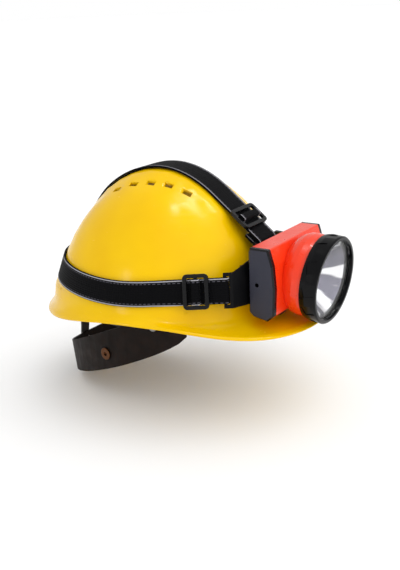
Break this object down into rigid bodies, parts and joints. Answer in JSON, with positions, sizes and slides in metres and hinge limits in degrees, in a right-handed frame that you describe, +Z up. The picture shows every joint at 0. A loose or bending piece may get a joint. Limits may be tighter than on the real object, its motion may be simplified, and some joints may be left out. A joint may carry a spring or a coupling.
{
  "type": "miner helmet",
  "caption": "hard-shell work helmet with a forward peak, crown vents, nape band and head cradle, carrying a headlamp held by a side strap and a crown strap",
  "frame": {"origin": "on the midplane at the level of the rim, in the opening where the head enters", "axes": "+Z up towards the crown, -Y out over the peak and along the lamp's beam, +X to the wearer's left"},
  "size_m": [0.225, 0.3137, 0.2251],
  "materials": {
    "shell_yellow": "gloss injection moulded, faint orange peel",
    "harness_black": "moulded nylon, matt",
    "sweat_foam": "knitted cover over foam",
    "cradle_webbing": "woven webbing",
    "cradle_pad": "quilted fabric over foam",
    "nape_plastic": "moulded strap, dark brown-black, matt",
    "nape_strut": "moulded strut, matt",
    "eyelet_brass": "aged brass",
    "rivet_steel": "plain steel",
    "strap_webbing": "black elastic webbing with silver-grey edge lines",
    "slider_black": "gloss black moulding",
    "bracket_black": "satin black moulding",
    "pad_foam": "closed-cell foam",
    "case_red": "gloss orange-red moulding",
    "cap_grey": "blue-grey satin moulding",
    "cover_grey": "satin moulding",
    "bezel_black": "gloss black ring",
    "lens_clear": "clear polycarbonate",
    "gasket_black": "soft rubber",
    "reflector_mirror": "vacuum metallised, streaky reflections",
    "led_white": "light emitting diode on a white board",
    "sink_alu": "turned aluminium",
    "cell_wrap": "printed film over a steel can",
    "board_green": "circuit board",
    "socket_steel": "plated steel",
    "boot_rubber": "soft ribbed rubber",
    "switch_plastic": "moulded"
  },
  "bodies": {
    "helmet": {"shell": "shell_yellow", "headband": "harness_black", "sweatband": "sweat_foam", "suspension_key_rear_left": "harness_black", "suspension_key_rear_right": "harness_black", "suspension_key_front_right": "harness_black", "suspension_key_front_left": "harness_black", "crown_strap_lower": "cradle_webbing", "crown_strap_upper": "cradle_webbing", "crown_pad": "cradle_pad", "nape_arm_rivets": "rivet_steel", "side_strap": "strap_webbing", "top_strap": "strap_webbing", "lamp_bracket": "bracket_black", "bracket_pad": "pad_foam", "hinge_pin": "rivet_steel"},
    "nape": {"nape_band": "nape_plastic", "nape_eyelets": "eyelet_brass", "nape_upright": "nape_strut", "nape_upright_pin": "rivet_steel"},
    "lamp": {"lamp_case": "case_red", "back_cover": "cover_grey", "end_cap_right": "cap_grey", "end_cap_left": "cap_grey", "cover_screws": "rivet_steel", "reflector": "reflector_mirror", "heat_sink": "sink_alu", "led_module": "led_white", "battery_cells": "cell_wrap", "control_board": "board_green", "charge_socket": "socket_steel", "switch_body": "switch_plastic"},
    "bezel": {"bezel": "bezel_black", "lens": "lens_clear", "lens_gasket": "gasket_black"},
    "switch": {"switch_boot": "boot_rubber"},
    "slider_right": {"slider_right": "slider_black", "strap_fold_right": "strap_webbing"},
    "slider_left": {"slider_left": "slider_black", "strap_fold_left": "strap_webbing"},
    "slider_top": {"slider_top": "slider_black", "strap_fold_top": "strap_webbing"}
  },
  "joints": [
    {"name": "lamp_tilt", "type": "hinge", "parent": "helmet", "child": "lamp", "pos_m": [0, -0.1164, 0.013], "axis": [1, 0, 0], "range_deg": [0, 3.2]},
    {"name": "bezel_turn", "type": "hinge", "parent": "lamp", "child": "bezel", "pos_m": [0, -0.1435, 0.0435], "axis": [0, -0.9945, -0.1045], "range_deg": [0, 90]},
    {"name": "switch_press", "type": "slide", "parent": "lamp", "child": "switch", "axis": [0, -0.1855, 0.9826], "range_m": [0, 0.0008], "stiffness_N_per_m": 1500, "springref_m": -0.0008},
    {"name": "slide_right", "type": "slide", "parent": "helmet", "child": "slider_right", "axis": [-0.3821, 0.9214, -0.0713], "range_m": [-0.006, 0.015]},
    {"name": "slide_left", "type": "slide", "parent": "helmet", "child": "slider_left", "axis": [0.3821, 0.9214, -0.0713], "range_m": [-0.006, 0.015]},
    {"name": "slide_top", "type": "slide", "parent": "helmet", "child": "slider_top", "axis": [0, 0.7814, 0.624], "range_m": [-0.006, 0.015]},
    {"name": "nape_height", "type": "hinge", "parent": "helmet", "child": "nape", "pos_m": [0, -0.034, -0.001], "axis": [1, 0, 0], "range_deg": [-2, 2]}
  ]
}
